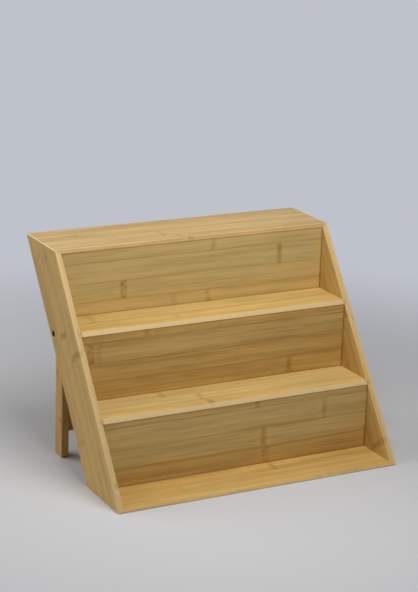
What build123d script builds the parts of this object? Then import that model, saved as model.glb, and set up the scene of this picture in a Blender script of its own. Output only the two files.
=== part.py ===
from build123d import *
import math
import os

# A bamboo counter-top riser with three steps. A leaning, parallelogram-sided frame of four mitred boards
# carries two shelves in dados and three upright risers, and stands on a folding pair of rear legs.
# +X is to the right, +Y to the back, +Z up. The origin is on the floor, at the middle of the overall box.

# Frame
width = 400.0
height = 278.0
lean = 36.0  # degrees that the side boards lean back from upright
side_depth = 93.0  # front to back of a side board, measured level
side_thickness = 8.0
frame_board_thickness = 4.5  # top and bottom boards
corner_radius = 1.5  # outer corners, where the mitres meet
arris_radius = 0.8  # long front and rear edges of every board
riser_edge_radius = 0.3  # lower front edge of a board that has a riser under it

# Steps
lower_shelf_top = 96.5
upper_shelf_top = 188.5
shelf_thickness = 5.5
dado_depth = 3.0
shelf_end_gap = 0.5  # between a shelf's end and the bottom of its dado
upper_shelf_inset = 6.0  # rear edge of the upper shelf, ahead of the frame's rear edge
riser_thickness = 6.0
riser_end_gap = 0.6
tongue_thickness = 2.5
tongue_height = 2.0

# Folding rear stand
pivot_inset = 10.2  # level distance from the side board's rear edge
pivot_height = 167.5
leg_width = 21.0
leg_thickness = 10.0
leg_head_gap = 0.2  # between the leg's head and the upper shelf, which stops it
head_radius = 10.0  # front corner of the head, which swings up as the leg folds
foot_radius = 4.0
rail_bottom = 34.0
rail_height = 28.0
rail_thickness = 10.0

# Pivot hardware
bolt_diameter = 4.0
bolt_running_gap = 0.05
shank_in_leg = 7.0
head_diameter = 7.6
head_thickness = 2.0
head_round = 0.8
socket_flats = 2.5
socket_depth = 1.2
counterbore_diameter = 8.6
counterbore_depth = 4.0
counterbore_chamfer = 0.8
head_float = 0.1  # between the bolt's head and the bottom of its counterbore
washer_diameter = 12.0
washer_thickness = 0.7
washer_float = 0.1  # between the washer and the side board
insert_diameter = 6.0
insert_length = 8.0
fit_gap = 0.05  # round a dowel or an insert in its hole

# Dowels between the legs and their rail
dowel_diameter = 6.0
dowel_spacing = 14.0
dowel_in_leg = 7.0
dowel_in_rail = 13.0

# Worked out from the above
slope = math.tan(math.radians(lean))
overall_depth = height * slope + side_depth
half_width = width / 2
inner_x = half_width - side_thickness
leg_outer_x = inner_x - washer_thickness - washer_float
leg_inner_x = leg_outer_x - leg_thickness
shelf_half_length = inner_x + dado_depth - shelf_end_gap


def front_y(z):
    """Y of the leaning front plane at height z."""
    return -overall_depth / 2 + z * slope


def rear_y(z):
    """Y of the leaning rear plane at height z."""
    return front_y(z) + side_depth


pivot_y = rear_y(pivot_height) - pivot_inset
top_underside = height - frame_board_thickness
upper_shelf_underside = upper_shelf_top - shelf_thickness
lower_shelf_underside = lower_shelf_top - shelf_thickness
leg_top = upper_shelf_underside - leg_head_gap
rail_middle_z = rail_bottom + rail_height / 2


def plane_across(x, z, facing):
    """A plane across X, centred on the legs at height z. It faces +X for 1 and -X for -1."""
    return Plane((x, pivot_y, z), x_dir=(0, 1, 0), z_dir=(facing, 0, 0))


def riser_middle(underside):
    """Y of the middle of the riser under a board: its front meets the board's lower front edge."""
    return front_y(underside) + riser_thickness / 2


# The slivers outside the rounded outer corners, taken off the four frame boards
with BuildPart() as corner_waste:
    with BuildSketch(Plane.XZ):
        for x_side in (-1, 1):
            for corner_z, z_side in ((0, 1), (height, -1)):
                with Locations((x_side * half_width, corner_z)):
                    Rectangle(2 * corner_radius, 2 * corner_radius)
                arc_middle = (x_side * (half_width - corner_radius), corner_z + z_side * corner_radius)
                with Locations(arc_middle):
                    Circle(corner_radius, mode=Mode.SUBTRACT)
    extrude(amount=overall_depth, both=True)


def build_side(x_side):
    """One leaning side board, mitred at top and bottom, with dados for the shelves and the pivot hole."""
    outer_face_x = x_side * half_width
    inner_face_x = x_side * inner_x
    with BuildPart() as side:
        with BuildSketch(Plane.YZ.offset(min(outer_face_x, inner_face_x))):
            with BuildLine():
                Polyline(
                    (front_y(0), 0),
                    (rear_y(0), 0),
                    (rear_y(height), height),
                    (front_y(height), height),
                    close=True,
                )
            make_face()
        extrude(amount=side_thickness)
        leaning_edges = side.edges().filter_by(lambda edge: edge.bounding_box().size.Z > height / 2)
        fillet(leaning_edges, arris_radius)
        with BuildSketch(Plane.XZ):
            for edge_z, z_side in ((0, 1), (height, -1)):
                with BuildLine():
                    Polyline(
                        (outer_face_x, edge_z),
                        (inner_face_x, edge_z + z_side * frame_board_thickness),
                        (inner_face_x, edge_z),
                        close=True,
                    )
                make_face()
        extrude(amount=overall_depth, both=True, mode=Mode.SUBTRACT)
        add(corner_waste.part, mode=Mode.SUBTRACT)
        with BuildSketch(Plane.YZ.offset(inner_face_x)):
            for shelf_top, shelf_rear in shelves:
                dado_front = front_y(shelf_top) - side_depth
                with Locations(((dado_front + shelf_rear) / 2, shelf_top - shelf_thickness / 2)):
                    Rectangle(shelf_rear - dado_front, shelf_thickness)
        extrude(amount=x_side * dado_depth, mode=Mode.SUBTRACT)
        with Locations(plane_across(outer_face_x, pivot_height, x_side).location):
            CounterBoreHole(
                radius=bolt_diameter / 2 + bolt_running_gap,
                counter_bore_radius=counterbore_diameter / 2,
                counter_bore_depth=counterbore_depth,
                depth=side_thickness,
            )
        counterbore_mouth = side.edges().filter_by(GeomType.CIRCLE).sort_by(Axis.X)[-1 if x_side > 0 else 0]
        chamfer(counterbore_mouth, counterbore_chamfer)
    return side


def build_board(underside, board_top, rear, half_length, riser_below, riser_above):
    """A level board with a leaning front edge, and grooves for the risers under it and on it."""
    with BuildPart() as board:
        with BuildSketch(Plane.YZ):
            with BuildLine():
                Polyline(
                    (front_y(underside), underside),
                    (rear(underside), underside),
                    (rear(board_top), board_top),
                    (front_y(board_top), board_top),
                    close=True,
                )
            make_face()
        extrude(amount=half_length, both=True)
        lower_front_edge, *other_edges = board.edges().filter_by(Axis.X).sort_by(Axis.Y)
        fillet(other_edges, arris_radius)
        fillet(lower_front_edge, arris_radius if riser_below is None else riser_edge_radius)
        with BuildSketch(Plane.YZ):
            if riser_below is not None:
                with Locations((riser_below, underside)):
                    Rectangle(tongue_thickness, 2 * tongue_height)
            if riser_above is not None:
                with Locations((riser_above, board_top)):
                    Rectangle(tongue_thickness, 2 * tongue_height)
        extrude(amount=half_length, both=True, mode=Mode.SUBTRACT)
    return board


def build_frame_board(underside, outer_z, z_side, riser_below, riser_above):
    """A top or bottom board of the frame: its ends are mitred to the side boards."""
    board_top = underside + frame_board_thickness
    with BuildPart() as frame_board:
        add(build_board(underside, board_top, rear_y, half_width, riser_below, riser_above).part)
        with BuildSketch(Plane.XZ):
            for x_side in (-1, 1):
                with BuildLine():
                    Polyline(
                        (x_side * half_width, outer_z),
                        (x_side * inner_x, outer_z + z_side * frame_board_thickness),
                        (x_side * half_width, outer_z + z_side * frame_board_thickness),
                        close=True,
                    )
                make_face()
        extrude(amount=overall_depth, both=True, mode=Mode.SUBTRACT)
        add(corner_waste.part, mode=Mode.SUBTRACT)
    return frame_board


def build_riser(step_top, underside):
    """An upright board between a step and the board above it, with a tongue along both edges."""
    riser_height = underside - step_top
    with BuildPart() as riser:
        with BuildSketch(Plane.YZ):
            with Locations((riser_middle(underside), (step_top + underside) / 2)):
                Rectangle(riser_thickness, riser_height)
                Rectangle(tongue_thickness, riser_height + 2 * tongue_height)
        extrude(amount=inner_x - riser_end_gap, both=True)
    return riser


def build_leg(x_side):
    """A rear leg. Its head is square behind, where it stops on the upper shelf, and round in front."""
    outer_face_x = x_side * leg_outer_x
    with BuildPart() as leg:
        with BuildSketch(Plane.YZ.offset(min(outer_face_x, x_side * leg_inner_x))) as outline:
            with Locations((pivot_y, leg_top / 2)):
                Rectangle(leg_width, leg_top)
            feet = outline.vertices().group_by(Axis.Y)[0]
            fillet(feet, foot_radius)
            head_front = outline.vertices().group_by(Axis.Y)[-1].sort_by(Axis.X)[0]
            fillet(head_front, head_radius)
        extrude(amount=leg_thickness)
        upright_edges = leg.edges().filter_by(Axis.Z)
        fillet(upright_edges, arris_radius)
        with Locations(plane_across(outer_face_x, pivot_height, x_side).location):
            Hole(radius=insert_diameter / 2 + fit_gap, depth=insert_length)
        with Locations(plane_across(x_side * leg_inner_x, rail_middle_z, -x_side).location):
            with GridLocations(0, dowel_spacing, 1, 2):
                Hole(radius=dowel_diameter / 2 + fit_gap, depth=dowel_in_leg)
    return leg


def build_bolt(x_side):
    """A socket-head pivot bolt: it turns in the side board and is screwed into the leg's insert."""
    head_seat_x = half_width - counterbore_depth + head_float
    shank_end_x = leg_outer_x - shank_in_leg
    outward = plane_across(x_side * head_seat_x, pivot_height, x_side)
    with BuildPart() as bolt:
        with BuildSketch(outward):
            Circle(head_diameter / 2)
        extrude(amount=head_thickness)
        fillet(bolt.faces().sort_by(Axis.X)[-1 if x_side > 0 else 0].edges(), head_round)
        with BuildSketch(outward):
            Circle(bolt_diameter / 2)
        extrude(amount=shank_end_x - head_seat_x)
        with BuildSketch(outward.offset(head_thickness)):
            RegularPolygon(socket_flats / 2, 6, major_radius=False)
        extrude(amount=-socket_depth, mode=Mode.SUBTRACT)
    return bolt


def build_washer(x_side):
    """A thin washer that keeps the leg off the side board."""
    with BuildPart() as washer:
        with BuildSketch(plane_across(x_side * leg_outer_x, pivot_height, x_side)):
            Circle(washer_diameter / 2)
            Circle(bolt_diameter / 2 + fit_gap, mode=Mode.SUBTRACT)
        extrude(amount=washer_thickness)
    return washer


def build_insert(x_side):
    """The threaded metal insert in the leg's head, drawn as a plain bush."""
    with BuildPart() as insert:
        with BuildSketch(plane_across(x_side * leg_outer_x, pivot_height, x_side)):
            Circle(insert_diameter / 2)
            Circle(bolt_diameter / 2 + fit_gap, mode=Mode.SUBTRACT)
        extrude(amount=-insert_length)
    return insert


upper_shelf_rear = rear_y(upper_shelf_underside) - upper_shelf_inset
lower_shelf_rear = riser_middle(upper_shelf_underside) + riser_thickness / 2
shelves = ((lower_shelf_top, lower_shelf_rear), (upper_shelf_top, upper_shelf_rear))

left_side = build_side(-1)
right_side = build_side(1)
top_board = build_frame_board(top_underside, height, -1, riser_middle(top_underside), None)
bottom_board = build_frame_board(0, 0, 1, None, riser_middle(lower_shelf_underside))
upper_shelf = build_board(
    upper_shelf_underside,
    upper_shelf_top,
    lambda z: upper_shelf_rear,
    shelf_half_length,
    riser_middle(upper_shelf_underside),
    riser_middle(top_underside),
)
lower_shelf = build_board(
    lower_shelf_underside,
    lower_shelf_top,
    lambda z: lower_shelf_rear,
    shelf_half_length,
    riser_middle(lower_shelf_underside),
    riser_middle(upper_shelf_underside),
)
upper_riser = build_riser(upper_shelf_top, top_underside)
middle_riser = build_riser(lower_shelf_top, upper_shelf_underside)
lower_riser = build_riser(frame_board_thickness, lower_shelf_underside)
left_leg = build_leg(-1)
right_leg = build_leg(1)

# The rail between the legs, drilled at both ends for its dowels
with BuildPart() as leg_rail:
    with BuildSketch(Plane.YZ):
        with Locations((pivot_y, rail_middle_z)):
            Rectangle(rail_thickness, rail_height)
    extrude(amount=leg_inner_x, both=True)
    fillet(leg_rail.edges().filter_by(Axis.X), arris_radius)
    for x_side in (-1, 1):
        with Locations(plane_across(x_side * leg_inner_x, rail_middle_z, x_side).location):
            with GridLocations(0, dowel_spacing, 1, 2):
                Hole(radius=dowel_diameter / 2 + fit_gap, depth=dowel_in_rail)

# Four dowels, two at each end of the rail
with BuildPart() as rail_dowels:
    for x_side in (-1, 1):
        dowel_start_x = x_side * (leg_inner_x - dowel_in_rail)
        with BuildSketch(plane_across(dowel_start_x, rail_middle_z, x_side)):
            with GridLocations(0, dowel_spacing, 1, 2):
                Circle(dowel_diameter / 2)
        extrude(amount=dowel_in_rail + dowel_in_leg)

pieces = {
    "left_side": left_side,
    "right_side": right_side,
    "top_board": top_board,
    "bottom_board": bottom_board,
    "upper_shelf": upper_shelf,
    "lower_shelf": lower_shelf,
    "upper_riser": upper_riser,
    "middle_riser": middle_riser,
    "lower_riser": lower_riser,
    "left_leg": left_leg,
    "right_leg": right_leg,
    "leg_rail": leg_rail,
    "rail_dowels": rail_dowels,
    "left_pivot_bolt": build_bolt(-1),
    "right_pivot_bolt": build_bolt(1),
    "left_pivot_washer": build_washer(-1),
    "right_pivot_washer": build_washer(1),
    "left_leg_insert": build_insert(-1),
    "right_leg_insert": build_insert(1),
}

os.makedirs("parts", exist_ok=True)
for name, piece in pieces.items():
    piece.part.label = name
    export_step(piece.part, f"parts/{name}.step")
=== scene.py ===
import math
import random
from collections import namedtuple

import bmesh
import bpy
from mathutils import Matrix, Vector


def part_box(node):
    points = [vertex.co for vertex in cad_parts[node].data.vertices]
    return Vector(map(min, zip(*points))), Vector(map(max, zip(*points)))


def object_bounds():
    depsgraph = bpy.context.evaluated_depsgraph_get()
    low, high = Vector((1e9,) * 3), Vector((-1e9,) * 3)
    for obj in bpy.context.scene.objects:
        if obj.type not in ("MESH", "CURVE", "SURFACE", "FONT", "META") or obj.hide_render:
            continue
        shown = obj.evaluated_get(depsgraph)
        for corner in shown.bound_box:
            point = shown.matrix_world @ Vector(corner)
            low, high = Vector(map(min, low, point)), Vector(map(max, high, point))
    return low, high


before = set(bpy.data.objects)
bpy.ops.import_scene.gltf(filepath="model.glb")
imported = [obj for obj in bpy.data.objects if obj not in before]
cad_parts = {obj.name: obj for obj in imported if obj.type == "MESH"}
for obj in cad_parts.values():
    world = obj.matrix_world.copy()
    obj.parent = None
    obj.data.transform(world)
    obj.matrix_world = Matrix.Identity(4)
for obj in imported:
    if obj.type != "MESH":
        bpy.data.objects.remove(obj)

# The looks of a bamboo counter-top riser on a folding stand. Every board is glued up from strips of bamboo,
# so each has its own strips, glue lines and knuckles. +X is to the right, +Y to the back, +Z up, in metres.

MM = 0.001
cad_low, cad_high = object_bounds()

# Camera
CAMERA_PLACE = Vector((-1.060, -1.945, 0.876))
CAMERA_YAW = math.radians(28.43)  # turned from +Y towards +X
CAMERA_PITCH = math.radians(16.70)  # looking down
CAMERA_ROLL = math.radians(1.98)
CAMERA_LENS = 108.95  # in millimetres, like the sensor
CAMERA_SENSOR = 36.0

# Studio: the floor fades into the backdrop from FLOOR_SOLID outwards
FLOOR_RADIUS = 1.0
FLOOR_SOLID = 0.3 * FLOOR_RADIUS
BACKDROP = (0.52, 0.54, 0.59)
Lamp = namedtuple("Lamp", "name place size watts")
LAMPS = (
    Lamp("overhead", (0.0, -0.25, 0.80), 0.55, 3.6),
    Lamp("front", (0.0, -0.80, 1.10), 0.60, 2.4),
    Lamp("back_left", (-0.80, 0.80, 1.00), 0.80, 6.8),
    Lamp("right", (2.20, -0.60, 1.20), 1.40, 5.5),
    Lamp("left", (-0.90, 0.10, 0.80), 0.60, 1.8),
)

# Bamboo colours, linear: the dark and the pale end of its tone, then its sawn edges, the painted highlight
# on its rounded corners and the painted shade inside the pivot hole
HONEY = (0.50, 0.315, 0.100)
STRAW = (0.72, 0.52, 0.225)
SAWN = (0.76, 0.555, 0.28)
CORNER_HIGHLIGHT_CREAM = (0.90, 0.76, 0.48)
# Near black: painted shade inside the pivot hole
PAINTED_BORE_SHADE = (0.030, 0.018, 0.010)

# Tints, which multiply a colour
WHITE = (1.0, 1.0, 1.0)
BROWN_TINT = (0.58, 0.42, 0.19)
ORANGE_TINT = (1.06, 0.93, 0.68)
OLIVE_TINT = (0.95, 0.99, 0.94)
ROSY_TINT = (0.985, 0.955, 1.05)

# Fibres: noise drawn out along the grain, and how far each kind moves the tone
Streak = namedtuple("Streak", "length width detail amount")
MEDIUM_STREAK = Streak(120 * MM, 2.4 * MM, 3.0, 1.2)
WIDE_STREAK = Streak(260 * MM, 9 * MM, 2.0, 1.3)
FINE_STREAK = Streak(36 * MM, 0.9 * MM, 2.0, 1.1)
PATCH = Streak(90 * MM, 24 * MM, 2.0, 1.0)
PATCH_WARMTH = 0.9  # how far patches move the warmth
SHUFFLE = 37.0  # the most that the noise moves between strips
FIBRE_BEND = 1.2 * MM  # how far a knuckle pushes the fibres aside

# Knuckles: half the width of the dark mark and of the halo round it, at full strength and where they end
KNUCKLE_STRAY = 7 * MM  # how much its line wanders and how ragged it is
KNUCKLE_FULL, KNUCKLE_END = 0.5 * MM, 7.5 * MM
HALO_FULL, HALO_END = 3 * MM, 16 * MM
NO_KNUCKLE = (0, 0)

# Across a glue line: the distance from it, as a part of the board's width, and how strong the thin line and
# the wide shade are there
SEAM_PROFILE = ((-0.07, 0, 0), (-0.01, 0, 0.8), (0, 1, 1), (0.01, 0, 0.6), (0.04, 0, 0))

# Joints: the dark band round a joint, partly a glue line and partly painted contact shade, and how far
# shelves reach into the sides and risers into other boards
JOINT_AND_SHADE_FULL, JOINT_AND_SHADE_END = 0.2 * MM, 2.0 * MM
JOINT_AND_SHADE_DARK = 0.7
SHELF_IN_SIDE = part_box("left_side")[1].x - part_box("upper_shelf")[0].x
RISER_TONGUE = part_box("upper_shelf")[1].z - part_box("upper_riser")[0].z

BAMBOO_BUMP = 0.03 * MM
BORE_MARGIN = 0.5 * MM  # how far past the bolt's head the painted shade of the pivot hole reaches

# One strip of a glued-up board. `end` is where it ends across the board, from 0 to 1. `tone` runs from 0,
# dark, to 1, pale, and `warmth` from 0, olive, to 1, orange. `seam` is how dark the glue line after it is.
# `knuckles` are (place along the board from 0 to 1, strength), two at most.
Strip = namedtuple("Strip", "end tone warmth seam knuckles")

TOP_STRIPS = (
    Strip(0.26, 0.38, 0.05, 0.30, ((0.72, 0.4),)),
    Strip(0.53, 0.36, 0.10, 0.55, ((0.13, 0.4),)),
    Strip(0.79, 0.46, 0.00, 0.30, ((0.41, 0.8),)),
    Strip(0.92, 0.40, 0.05, 0.35, ((0.455, 1.0),)),
    Strip(1.00, 0.36, 0.30, 0.00, ((0.48, 0.9),)),
)
UPPER_RISER_STRIPS = (
    Strip(0.20, 0.76, 0.15, 0.60, ((0.563, 0.6),)),
    Strip(0.51, 0.80, 0.10, 0.50, ((0.827, 0.9),)),
    Strip(0.79, 0.84, 0.10, 0.60, ((0.226, 1.0),)),
    Strip(1.00, 0.78, 0.25, 0.00, ((0.550, 0.6), (0.420, 0.5))),
)
UPPER_SHELF_STRIPS = (
    Strip(0.24, 0.58, 0.25, 0.40, ()),
    Strip(0.60, 0.62, 0.35, 0.60, ((0.096, 0.7),)),
    Strip(0.87, 0.66, 0.55, 0.50, ((0.371, 0.5),)),
    Strip(1.00, 0.72, 0.65, 0.00, ()),
)
# The middle and lower risers' strips are darker than the upper riser's: partly the wood's own tone and
# partly painted shade of the lower tiers
MIDDLE_RISER_STRIPS = (
    Strip(0.14, 0.40, 0.85, 0.80, ((0.234, 0.8),)),
    Strip(0.44, 0.50, 0.50, 1.00, ((0.032, 1.0), (0.06, 0.5))),
    Strip(0.71, 0.38, 0.65, 0.60, ((0.580, 0.2),)),
    Strip(1.00, 0.33, 0.65, 0.00, ((0.785, 0.9),)),
)
LOWER_SHELF_STRIPS = (
    Strip(0.39, 0.62, 0.25, 0.50, ((0.279, 0.6),)),
    Strip(0.73, 0.76, 0.30, 0.60, ((0.392, 0.7),)),
    Strip(1.00, 0.74, 0.55, 0.00, ((0.402, 1.0),)),
)
LOWER_RISER_STRIPS = (
    Strip(0.11, 0.60, 0.40, 0.90, ((0.563, 0.9),)),
    Strip(0.43, 0.74, 0.25, 0.60, ((0.829, 0.7),)),
    Strip(0.71, 0.68, 0.25, 0.70, ((0.594, 1.0),)),
    Strip(1.00, 0.40, 0.55, 0.00, ((0.605, 0.7),)),
)
BOTTOM_STRIPS = (
    Strip(0.30, 0.50, 0.60, 0.50, ((0.20, 0.5),)),
    Strip(0.58, 0.52, 0.80, 0.50, ((0.608, 0.7),)),
    Strip(0.85, 0.60, 0.75, 0.40, ((0.25, 0.3),)),
    Strip(1.00, 0.66, 0.75, 0.00, ((0.753, 0.4),)),
)
SIDE_OUTER_STRIPS = (
    Strip(0.36, 0.74, 0.80, 0.30, ((0.896, 0.5), (0.27, 0.4))),
    Strip(0.64, 0.82, 0.80, 0.35, ((0.608, 1.0), (0.872, 0.5))),
    Strip(1.00, 0.86, 0.80, 0.00, ((0.519, 1.0), (0.20, 0.3))),
)
# The inner ply is darker than the outer one: partly a two-tone glue-up, partly painted shade on the inner
# faces
SIDE_INNER_STRIPS = (
    Strip(0.28, 0.40, 0.50, 0.50, ((0.42, 0.6),)),
    Strip(0.60, 0.34, 0.60, 0.60, ((0.75, 0.4),)),
    Strip(1.00, 0.52, 0.50, 0.00, ((0.539, 0.9), (0.088, 0.9))),
)
LEG_STRIPS = (
    Strip(0.55, 0.36, 0.85, 0.50, ((0.62, 0.6),)),
    Strip(1.00, 0.42, 0.85, 0.00, ((0.28, 0.8),)),
)
RAIL_STRIPS = (
    Strip(0.48, 0.48, 0.60, 0.50, ((0.35, 0.8),)),
    Strip(1.00, 0.55, 0.70, 0.00, ((0.72, 0.7),)),
)

# How a board lies: a corner, the ways along the grain, across the strips and through the board, and its
# size each way
Lie = namedtuple("Lie", "corner along across through length width thickness")

# One board. `find_lie` works out how it lies. `plies` are the strips of its one ply, or of its outer and
# inner ones. `sawn` is how pale its sawn edges are; the field after it sets the painted highlight on its
# rounded corners. `sunk` is how far its ends reach into its neighbours, then its long edges if they do.
# `tint` colours it.
Board = namedtuple("Board", "node find_lie plies sawn worn sunk tint", defaults=(None, None))


class Look:
    """A material being built out of nodes. An input may be a socket or a plain value."""

    def __init__(self, name):
        self.material = bpy.data.materials.new(name)
        self.material.use_nodes = True
        self.tree = self.material.node_tree
        self.shader = self.tree.nodes["Principled BSDF"]

    def node(self, kind, inputs, output=0, **settings):
        """Adds a node with these inputs, by index or name, and returns one of its outputs."""
        made = self.tree.nodes.new("ShaderNode" + kind)
        for field, value in settings.items():
            setattr(made, field, value)
        for key, value in inputs.items():
            if isinstance(value, bpy.types.NodeSocket):
                self.tree.links.new(value, made.inputs[key])
            else:
                made.inputs[key].default_value = value
        return made.outputs[output]

    def place(self):
        """Where a point of the object is, in the object's own frame."""
        return self.node("TexCoord", {}, output="Object")

    def math(self, operation, a, b=0.0, c=0.0):
        return self.node("Math", {0: a, 1: b, 2: c}, operation=operation)

    def times(self, a, b):
        return self.math("MULTIPLY", a, b)

    def sway(self, value, wave, amount):
        """The value, moved both ways by a noise wave that runs from 0 to 1."""
        return self.math("MULTIPLY_ADD", self.math("SUBTRACT", wave, 0.5), amount, value)

    def fade(self, value, start, end, low=0.0, high=1.0):
        """A smooth change from low to high as value goes from start to end."""
        inputs = {0: value, 1: start, 2: end, 3: low, 4: high}
        return self.node("MapRange", inputs, interpolation_type="SMOOTHSTEP")

    def blend(self, amount, a, b, blend_type="MIX"):
        """A mix of two colours."""
        inputs = {0: amount, 6: rgba(a), 7: rgba(b)}
        return self.node("Mix", inputs, output=2, data_type="RGBA", blend_type=blend_type)

    def tinted(self, colour, tint):
        return self.blend(1.0, colour, tint, "MULTIPLY")

    def stained(self, colour, amount):
        """The colour, stained brown by this amount."""
        return self.tinted(colour, self.blend(amount, WHITE, BROWN_TINT))

    def dot(self, vector, way):
        return self.node("VectorMath", {0: vector, 1: way}, output="Value", operation="DOT_PRODUCT")

    def length(self, vector):
        return self.node("VectorMath", {0: vector}, output="Value", operation="LENGTH")

    def noise(self, vector, detail=2.0, scale=1.0):
        return self.node("TexNoise", {"Vector": vector, "Scale": scale, "Detail": detail})

    def coordinates(self, x, y, z):
        return self.node("CombineXYZ", {0: x, 1: y, 2: z})

    def channels(self, colour):
        """The red, green and blue of a colour."""
        return self.node("SeparateColor", {0: colour}).node.outputs[:3]

    def ramp(self, value, stops, interpolation):
        """The colour and alpha of a ramp through (place, four numbers) stops."""
        node = self.node("ValToRGB", {0: value}).node
        ramp = node.color_ramp
        ramp.interpolation = interpolation
        while len(ramp.elements) > 1:
            ramp.elements.remove(ramp.elements[-1])
        ramp.elements[0].position = stops[0][0]
        ramp.elements[0].color = stops[0][1]
        for place, numbers in stops[1:]:
            ramp.elements.new(place).color = numbers
        return node.outputs[:2]

    def set(self, **values):
        """Sets the shader's own sockets, named with _ for a space."""
        for name, value in values.items():
            self.shader.inputs[name.replace("_", " ")].default_value = value

    def finish(self, colour, roughness, bump=None, bump_depth=0.0):
        """Links the colour and roughness, and a bump map of this depth in metres."""
        self.tree.links.new(colour, self.shader.inputs["Base Color"])
        self.tree.links.new(roughness, self.shader.inputs["Roughness"])
        if bump is not None:
            normal = self.node("Bump", {"Height": bump, "Distance": bump_depth})
            self.tree.links.new(normal, self.shader.inputs["Normal"])
        return self.material


def rgba(colour):
    """Gives a colour of three numbers its alpha. A socket or a single value stays as it is."""
    return (*colour, 1.0) if isinstance(colour, tuple) and len(colour) == 3 else colour


# In the functions below, u runs along the grain, v across the strips and w through the board, in metres.


def strip_ramps(look, across, strips, dice):
    """Three ramps across the board: each strip's tone, its knuckles, and the glue lines between strips.

    The last has the thin glue line in its red and the wide shade along it in its green.
    """
    tones, knuckles, seams = [], [], [(0.0, (0, 0, 0, 1))]
    start = 0.0
    for strip in strips:
        shuffle = dice.random()
        tones.append((start, (strip.tone, strip.warmth, shuffle, 1)))
        first, second = (list(strip.knuckles) + 2 * [NO_KNUCKLE])[:2]
        knuckles.append((start, (*first, *second)))
        if strip.end < 1.0:
            shade = strip.seam * dice.uniform(0.5, 1.0)
            for offset, line, wide in SEAM_PROFILE:
                seams.append((strip.end + offset, (line * strip.seam, wide * shade, 0, 1)))
        start = strip.end
    return (
        look.ramp(across, tones, "CONSTANT"),
        look.ramp(across, knuckles, "CONSTANT"),
        look.ramp(across, seams, "LINEAR"),
    )


def knuckle_marks(look, u, v, place, strength, length):
    """The mark of one bamboo knuckle across a strip: how dark it is, and the pale halo round it."""
    wander = look.noise(look.coordinates(look.times(v, 70.0), place, 0.0), 1.0)
    ragged = look.noise(look.coordinates(look.times(v, 900.0), look.times(u, 90.0), place))
    blobs = look.noise(look.coordinates(look.times(u, 210.0), look.times(v, 130.0), place), 4.0)
    gap = look.math("SUBTRACT", u, look.times(place, length))
    gap = look.sway(gap, wander, KNUCKLE_STRAY)
    gap = look.sway(gap, ragged, KNUCKLE_STRAY)
    gap = look.math("ABSOLUTE", gap)
    band = look.fade(gap, KNUCKLE_FULL, KNUCKLE_END, 1.0, 0.0)
    dark = look.times(band, look.fade(blobs, 0.36, 0.64, 0.40, 1.0))
    halo = look.fade(gap, HALO_FULL, HALO_END, 1.0, 0.0)
    return look.times(dark, strength), look.times(halo, strength)


def strip_knuckles(look, u, v, ramp, length):
    """The marks and halos of both knuckles of a strip. The ramp has each one's place and strength."""
    colour, second_strength = ramp
    first_place, first_strength, second_place = look.channels(colour)
    first_dark, first_halo = knuckle_marks(look, u, v, first_place, first_strength, length)
    second_dark, second_halo = knuckle_marks(look, u, v, second_place, second_strength, length)
    return look.math("MAXIMUM", first_dark, second_dark), look.math("MAXIMUM", first_halo, second_halo)


def streaks(look, u, v, w, offset, streak):
    """Noise drawn out along the grain. Strips differ by their offset."""
    vector = look.coordinates(
        look.math("MULTIPLY_ADD", u, 1 / streak.length, offset),
        look.math("MULTIPLY_ADD", v, 1 / streak.width, offset),
        look.times(w, 1 / streak.width),
    )
    return look.noise(vector, streak.detail)


def bamboo_ply(look, u, v, w, lie, strips, dice):
    """The colour of one ply of a board, and its height for the bump map."""
    tones, knuckles, seams = strip_ramps(look, look.math("DIVIDE", v, lie.width), strips, dice)
    tone, warmth, shuffle = look.channels(tones[0])
    knuckle, halo = strip_knuckles(look, u, v, knuckles, lie.length)

    # Three kinds of fibre that bend a little at the knuckles, and patches that don't
    offset = look.times(shuffle, SHUFFLE)
    bent = look.math("MULTIPLY_ADD", halo, FIBRE_BEND, v)
    medium = streaks(look, u, bent, w, offset, MEDIUM_STREAK)
    wide = streaks(look, u, bent, w, offset, WIDE_STREAK)
    fine = streaks(look, u, bent, w, offset, FINE_STREAK)
    patches = streaks(look, u, v, w, offset, PATCH)
    kinds = (MEDIUM_STREAK, WIDE_STREAK, FINE_STREAK, PATCH)
    for wave, kind in zip((medium, wide, fine, patches), kinds):
        tone = look.sway(tone, wave, kind.amount)
    tone = look.math("MULTIPLY_ADD", halo, 0.10, tone)
    warmth = look.sway(warmth, patches, PATCH_WARMTH)
    colour = look.tinted(look.blend(tone, HONEY, STRAW), look.blend(warmth, OLIVE_TINT, ORANGE_TINT))

    # Marks: knuckles, glue lines that come and go with a shade along them, and short dark fibres
    line, side_shade, _ = look.channels(seams[0])
    seam = look.times(line, look.fade(patches, 0.40, 0.60, 0.3, 1.4))
    shade = look.times(side_shade, look.fade(medium, 0.35, 0.65, 0.65, 0.10))
    marks = look.math("MAXIMUM", look.times(knuckle, 0.8), look.math("MAXIMUM", seam, shade))
    marks = look.math("MAXIMUM", marks, look.fade(fine, 0.60, 0.75, 0.0, 0.3))
    height = look.math("MULTIPLY_ADD", marks, -0.6, look.math("MULTIPLY_ADD", medium, 0.2, fine))
    return look.stained(colour, marks), height


def both_plies(look, u, v, w, board, lie, dice):
    """The colour and the height of a board, of its one ply or of its outer and inner ones."""
    colour, height = bamboo_ply(look, u, v, w, lie, board.plies[0], dice)
    if len(board.plies) > 1:
        inner_colour, inner_height = bamboo_ply(look, u, v, w, lie, board.plies[1], dice)
        inner = look.fade(w, lie.thickness * 0.48, lie.thickness * 0.52)
        colour = look.blend(inner, colour, inner_colour)
        height = look.blend(inner, height, inner_height)
    return colour, height


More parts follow.
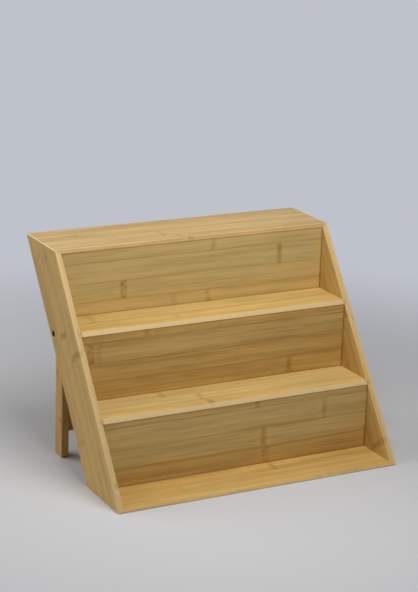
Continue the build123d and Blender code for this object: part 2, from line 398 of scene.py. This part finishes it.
def joint_line_and_painted_shade(look, u, v, lie, sunk):
    """Dark bands where the board meets its neighbours: partly the joint line, partly painted contact shade.
    """
    reach = look.math("SUBTRACT", look.math("MINIMUM", u, look.math("SUBTRACT", lie.length, u)), sunk[0])
    if len(sunk) > 1:
        edge_gap = look.math("MINIMUM", v, look.math("SUBTRACT", lie.width, v))
        reach = look.math("MINIMUM", reach, look.math("SUBTRACT", edge_gap, sunk[1]))
    return look.fade(look.math("ABSOLUTE", reach), JOINT_AND_SHADE_FULL, JOINT_AND_SHADE_END, JOINT_AND_SHADE_DARK, 0.0)


def painted_bore_shade(look, place, lie):
    """Painted shade inside the pivot hole through a side board: a near-black disc round the bolt's axis."""
    low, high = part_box("left_pivot_bolt")
    axis = (low + high) / 2 - lie.corner
    off = look.node("VectorMath", {0: place, 1: (0, axis.y, axis.z)}, operation="SUBTRACT")
    off = look.node("VectorMath", {0: off, 1: (0, 1, 1)}, operation="MULTIPLY")
    radius = (high.z - low.z) / 2 + BORE_MARGIN
    return look.fade(look.length(off), radius, radius + 0.2 * MM, 1.0, 0.0)


def bamboo(board):
    """The bamboo of one board."""
    name = "bamboo_" + board.node
    look = Look(name)
    lie = board.find_lie(board.node)
    place = look.node("VectorMath", {0: look.place(), 1: lie.corner}, operation="SUBTRACT")
    u, v, w = look.dot(place, lie.along), look.dot(place, lie.across), look.dot(place, lie.through)
    colour, height = both_plies(look, u, v, w, board, lie, random.Random(name))
    if board.tint:
        colour = look.tinted(colour, board.tint)

    # Sawn edges are paler, and rounded corners get a painted highlight in cream
    normal = look.node("TexCoord", {}, output="Normal")
    face = look.math("ABSOLUTE", look.dot(normal, lie.through))
    edge = look.math("ABSOLUTE", look.dot(normal, lie.across))
    end = look.math("ABSOLUTE", look.dot(normal, lie.along))
    square = look.math("MAXIMUM", look.math("MAXIMUM", face, edge), end)
    colour = look.blend(look.fade(face, 0.95, 0.60, 0.0, board.sawn), colour, SAWN)
    # Painted highlight: cream on the rounded corners, found from the normal
    corner = look.times(look.fade(square, 0.98, 0.85), look.fade(edge, 0.80, 0.65, 0.0, board.worn))
    colour = look.blend(corner, colour, CORNER_HIGHLIGHT_CREAM)

    # The painted shade of the pivot hole, the joint lines with painted contact shade, and the cut fibres
    # that show as dots on the ends
    if board.plies == SIDE_PLIES:
        colour = look.blend(painted_bore_shade(look, place, lie), colour, PAINTED_BORE_SHADE)
    if board.sunk:
        colour = look.stained(colour, joint_line_and_painted_shade(look, u, v, lie, board.sunk))
    cut = look.fade(end, 0.72, 0.9)
    fibres = look.node("TexVoronoi", {"Vector": place, "Scale": 1100.0})
    colour = look.stained(colour, look.times(cut, look.fade(fibres, 0.15, 0.45, 0.8, 0.0)))

    roughness = look.math("MULTIPLY_ADD", height, 0.08, 0.46)
    roughness = look.math("MULTIPLY_ADD", cut, 0.2, roughness)
    look.set(IOR=1.46, Specular_IOR_Level=0.3, Coat_Weight=0.05, Coat_Roughness=0.35)
    return look.finish(colour, roughness, height, BAMBOO_BUMP)


def dowel_wood():
    """Pale beech with fine lines along X."""
    look = Look("dowel_wood")
    stretched = look.node("Mapping", {"Vector": look.place(), "Scale": (60.0, 1400.0, 1400.0)})
    lines = look.noise(stretched, detail=3.0)
    colour = look.blend(lines, (0.50, 0.33, 0.17), (0.66, 0.47, 0.28))
    roughness = look.math("MULTIPLY_ADD", lines, 0.15, 0.5)
    return look.finish(colour, roughness, lines, 0.05 * MM)


def black_oxide():
    """Black steel, rubbed bare along its edges."""
    look = Look("black_oxide")
    cloud = look.noise(look.place(), detail=4.0, scale=900.0)
    worn = look.fade(look.node("NewGeometry", {}, output="Pointiness"), 0.53, 0.60)
    worn = look.times(worn, look.fade(cloud, 0.45, 0.6))
    colour = look.blend(worn, (0.010, 0.010, 0.011), (0.10, 0.10, 0.09))
    roughness = look.math("MULTIPLY_ADD", cloud, 0.25, 0.28)
    look.set(Metallic=0.9)
    return look.finish(colour, roughness, cloud, 0.01 * MM)


def nylon():
    """Off-white nylon with a faint mottle."""
    look = Look("nylon")
    mottle = look.noise(look.place(), detail=3.0, scale=700.0)
    colour = look.blend(mottle, (0.62, 0.61, 0.57), (0.74, 0.73, 0.70))
    roughness = look.math("MULTIPLY_ADD", mottle, 0.2, 0.45)
    return look.finish(colour, roughness, mottle, 0.02 * MM)


def zinc():
    """Zinc-plated steel with fine bands."""
    look = Look("zinc")
    turned = look.node("TexWave", {"Vector": look.place(), "Scale": 900.0, "Distortion": 2.0})
    colour = look.blend(turned, (0.42, 0.43, 0.44), (0.62, 0.62, 0.60))
    roughness = look.math("MULTIPLY_ADD", turned, 0.15, 0.25)
    look.set(Metallic=1.0)
    return look.finish(colour, roughness, turned, 0.01 * MM)


def side_lean():
    """How far the side boards lean back, from the front edges of the bottom and top boards."""
    bottom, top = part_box("bottom_board")[0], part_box("top_board")[0]
    return math.atan2(top.y - bottom.y, top.z - bottom.z)


def level_lie(node):
    """Grain along X, strips from the rear edge forward, through the board upwards."""
    low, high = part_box(node)
    size = high - low
    corner = Vector((low.x, high.y, low.z))
    return Lie(corner, (1, 0, 0), (0, -1, 0), (0, 0, 1), size.x, size.y, size.z)


def upright_lie(node):
    """Grain along X, strips from the top edge down, through the board backwards."""
    low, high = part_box(node)
    size = high - low
    corner = Vector((low.x, low.y, high.z))
    return Lie(corner, (1, 0, 0), (0, 0, -1), (0, 1, 0), size.x, size.z, size.y)


def outer_face(low, high):
    """The X of the face that looks away from the middle, and which way inwards is along X."""
    return (low.x, 1) if low.x < 0 else (high.x, -1)


def leaning_lie(node):
    """Grain up the lean from the front foot, strips from the rear edge forward, through it inwards."""
    low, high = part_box(node)
    outer_x, inward = outer_face(low, high)
    lean = side_lean()
    depth = (high.y - low.y) - (high.z - low.z) * math.tan(lean)
    along = Vector((0, math.sin(lean), math.cos(lean)))
    across = Vector((0, -math.cos(lean), math.sin(lean)))
    width = depth * math.cos(lean)
    length = (high.z - low.z) / math.cos(lean) + depth * math.sin(lean)
    corner = Vector((outer_x, low.y, low.z)) - across * width
    return Lie(corner, along, across, (inward, 0, 0), length, width, high.x - low.x)


def leg_lie(node):
    """Grain up along Z, strips from the rear edge forward, through the leg inwards."""
    low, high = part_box(node)
    outer_x, inward = outer_face(low, high)
    size = high - low
    corner = Vector((outer_x, high.y, low.z))
    return Lie(corner, (0, 0, 1), (0, -1, 0), (inward, 0, 0), size.z, size.y, size.x)


SHELF_JOINTS = (SHELF_IN_SIDE,)
RISER_JOINTS = (0.0, RISER_TONGUE)
SIDE_PLIES = (SIDE_OUTER_STRIPS, SIDE_INNER_STRIPS)
BOARDS = (
    Board("top_board", level_lie, (TOP_STRIPS,), sawn=0.0, worn=0.9, tint=ROSY_TINT),
    Board("bottom_board", level_lie, (BOTTOM_STRIPS,), sawn=0.2, worn=0.3),
    Board("upper_shelf", level_lie, (UPPER_SHELF_STRIPS,), sawn=0.8, worn=0.0, sunk=SHELF_JOINTS),
    Board("lower_shelf", level_lie, (LOWER_SHELF_STRIPS,), sawn=0.8, worn=0.0, sunk=SHELF_JOINTS),
    Board("upper_riser", upright_lie, (UPPER_RISER_STRIPS,), sawn=0.5, worn=0.2, sunk=RISER_JOINTS),
    Board("middle_riser", upright_lie, (MIDDLE_RISER_STRIPS,), sawn=0.5, worn=0.2, sunk=RISER_JOINTS),
    Board("lower_riser", upright_lie, (LOWER_RISER_STRIPS,), sawn=0.5, worn=0.2, sunk=RISER_JOINTS),
    Board("left_side", leaning_lie, SIDE_PLIES, sawn=0.35, worn=0.9),
    Board("right_side", leaning_lie, SIDE_PLIES, sawn=0.35, worn=0.9),
    Board("left_leg", leg_lie, (LEG_STRIPS,), sawn=0.2, worn=0.3),
    Board("right_leg", leg_lie, (LEG_STRIPS,), sawn=0.2, worn=0.3),
    Board("leg_rail", upright_lie, (RAIL_STRIPS,), sawn=0.3, worn=0.3),
)


def paint(node, material):
    """Gives a CAD node this one material all over."""
    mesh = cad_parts[node].data
    mesh.materials.clear()
    mesh.materials.append(material)
    for polygon in mesh.polygons:
        polygon.material_index = 0


def paint_everything():
    """Gives every CAD node its material: a bamboo for each board, and finishes for the hardware."""
    for board in BOARDS:
        paint(board.node, bamboo(board))
    paint("rail_dowels", dowel_wood())
    hardware = {"pivot_bolt": black_oxide(), "pivot_washer": nylon(), "leg_insert": zinc()}
    for side in ("left", "right"):
        for piece, material in hardware.items():
            paint(side + "_" + piece, material)


def place_in_scene(name, data):
    """Makes an object of this data and puts it in the scene."""
    made = bpy.data.objects.new(name, data)
    bpy.context.scene.collection.objects.link(made)
    return made


def make_floor():
    """A round, pale floor that fades into the pale surroundings."""
    mesh = bpy.data.meshes.new("floor")
    disc = bmesh.new()
    bmesh.ops.create_circle(disc, cap_ends=True, segments=96, radius=FLOOR_RADIUS)
    disc.to_mesh(mesh)
    disc.free()
    look = Look("floor_paper")
    cloud = look.noise(look.place(), detail=2.0, scale=1.5)
    colour = look.blend(cloud, (0.65, 0.65, 0.66), (0.68, 0.68, 0.69))
    solid = look.fade(look.length(look.place()), FLOOR_SOLID, FLOOR_RADIUS, 1.0, 0.0)
    look.tree.links.new(solid, look.shader.inputs["Alpha"])
    mesh.materials.append(look.finish(colour, look.math("MULTIPLY_ADD", cloud, 0.1, 0.7)))
    floor = place_in_scene("floor", mesh)


def make_lamp(lamp):
    """A square area light aimed at the middle of the object."""
    light = bpy.data.lights.new(lamp.name, "AREA")
    light.shape = "SQUARE"
    light.size = lamp.size
    light.energy = lamp.watts
    made = place_in_scene(lamp.name, light)
    aim = (cad_low + cad_high) / 2
    made.location = lamp.place
    made.rotation_mode = "QUATERNION"
    made.rotation_quaternion = (aim - made.location).to_track_quat("-Z", "Y")


def make_studio():
    """Soft lamps, and a pale backdrop that shows and is reflected but gives no diffuse light."""
    for lamp in LAMPS:
        make_lamp(lamp)
    world = bpy.data.worlds.new("studio")
    world.use_nodes = True
    world.node_tree.nodes["Background"].inputs["Color"].default_value = rgba(BACKDROP)
    world.cycles_visibility.diffuse = False
    bpy.context.scene.world = world


def make_camera():
    """The camera, in front of the riser, to its left and a little above it."""
    camera = place_in_scene("camera", bpy.data.cameras.new("camera"))
    camera.data.sensor_width = CAMERA_SENSOR
    camera.data.lens = CAMERA_LENS
    turn = (
        Matrix.Rotation(-CAMERA_YAW, 4, "Z")
        @ Matrix.Rotation(math.pi / 2 - CAMERA_PITCH, 4, "X")
        @ Matrix.Rotation(CAMERA_ROLL, 4, "Z")
    )
    camera.matrix_world = Matrix.Translation(CAMERA_PLACE) @ turn
    bpy.context.scene.camera = camera


make_camera()
make_studio()
make_floor()
paint_everything()
bpy.context.scene.view_settings.view_transform = "Standard"
